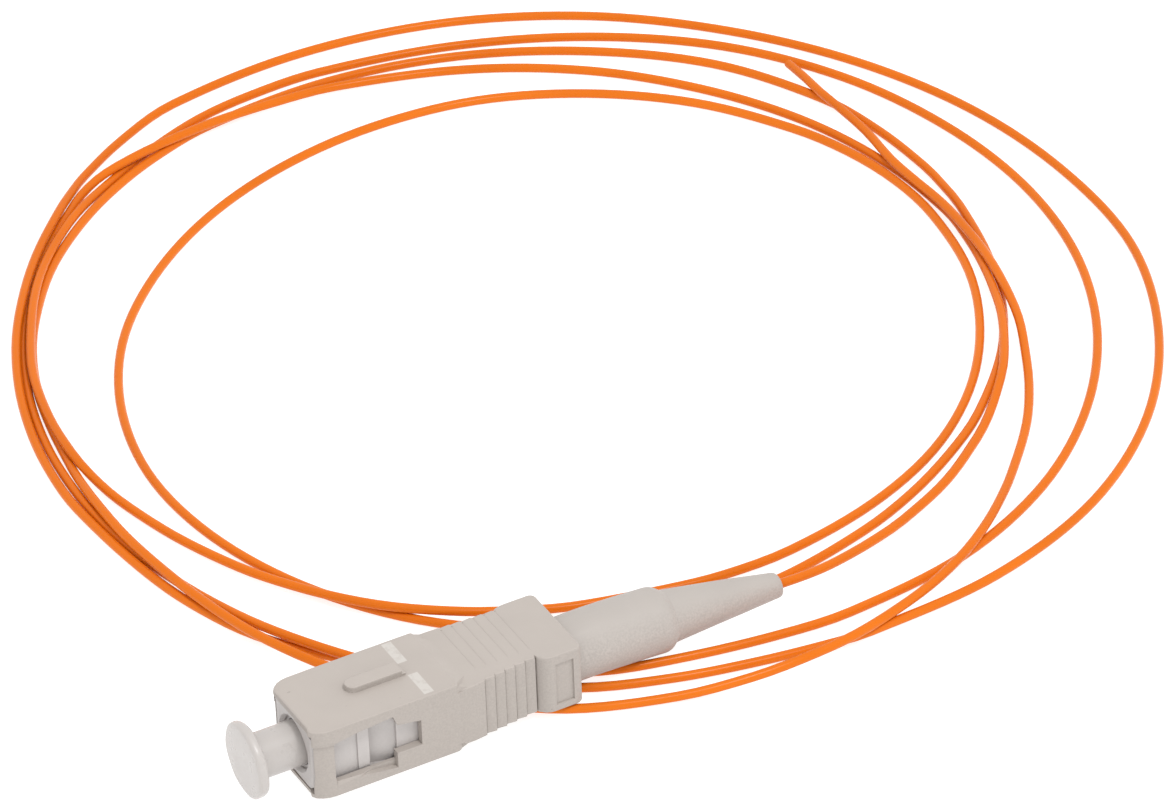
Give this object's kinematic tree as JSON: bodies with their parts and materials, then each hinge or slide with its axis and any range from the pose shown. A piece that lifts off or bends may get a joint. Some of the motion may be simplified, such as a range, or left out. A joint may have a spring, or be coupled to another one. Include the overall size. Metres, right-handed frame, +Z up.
{
  "type": "fibre optic pigtail",
  "caption": "Square push-pull fibre connector with a round dust cap and a tapered boot, on a thin buffered fibre that lies in loose coils.",
  "frame": {"origin": "on the floor below the middle of the connector, which is its cap, housing and boot without the fibre", "axes": "+X along the connector from the cap to the boot's tip, +Y towards the fibre's coil, +Z up"},
  "size_m": [0.1132, 0.114, 0.0085],
  "materials": {
    "housing_plastic": "satin, fine grain",
    "frame_plastic": "satin",
    "ferrule_ceramic": "polished",
    "flange_metal": "satin",
    "spring_steel": "satin",
    "ring_metal": "satin",
    "cap_plastic": "satin, slightly translucent",
    "boot_rubber": "matte",
    "fibre_buffer": "glossy"
  },
  "bodies": {
    "connector_core": {"plug_frame": "frame_plastic", "stop_ring": "ring_metal", "ferrule_spring": "spring_steel", "strain_relief_boot": "boot_rubber", "buffered_fibre": "fibre_buffer"},
    "housing": {"outer_housing": "housing_plastic"},
    "ferrule_assembly": {"ferrule": "ferrule_ceramic", "ferrule_flange": "flange_metal"},
    "cap": {"dust_cap": "cap_plastic"}
  },
  "joints": [
    {"name": "housing_slide", "type": "slide", "parent": "connector_core", "child": "housing", "axis": [-1, 0, 0], "range_m": [0, 0.0015]},
    {"name": "ferrule_float", "type": "slide", "parent": "connector_core", "child": "ferrule_assembly", "axis": [1, 0, 0], "range_m": [0, 0.001], "stiffness_N_per_m": 1200, "springref_m": -0.005, "deforming": ["ferrule_spring"]},
    {"name": "cap_pull", "type": "slide", "parent": "connector_core", "child": "cap", "axis": [-1, 0, 0], "range_m": [0, 0.012]}
  ]
}
